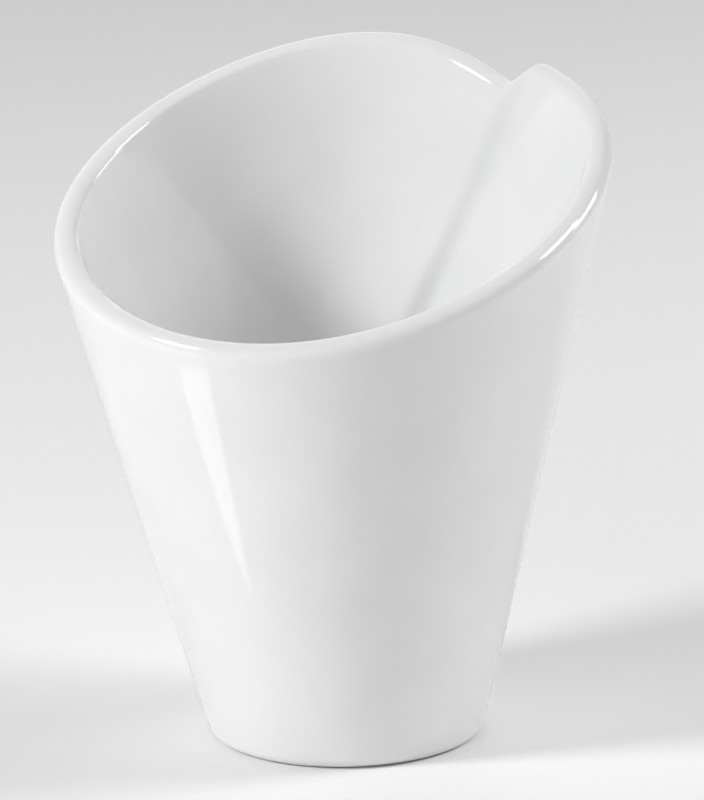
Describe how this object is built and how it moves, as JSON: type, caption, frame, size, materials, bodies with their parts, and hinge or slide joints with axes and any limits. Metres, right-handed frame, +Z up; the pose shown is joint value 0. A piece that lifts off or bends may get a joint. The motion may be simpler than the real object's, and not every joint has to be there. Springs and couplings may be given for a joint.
{
  "type": "ceramic cone cup",
  "caption": "Tapered snack cup in the form of a sheet rolled into a cone, with a rounded slanting rim, a notch where the sheet's ends meet, an open hollow and a flat base.",
  "frame": {"origin": "centre of the flat base, on the surface that the cup stands on", "axes": "+Z up out of the mouth. The rim is low at the front, towards -Y, and high at the back, towards +Y. The notch in the rim is at the back right, between +X and +Y."},
  "size_m": [0.1014, 0.1012, 0.1207],
  "materials": {
    "glaze": "white, glossy"
  },
  "bodies": {
    "root": {"cup": "glaze"}
  },
  "joints": []
}
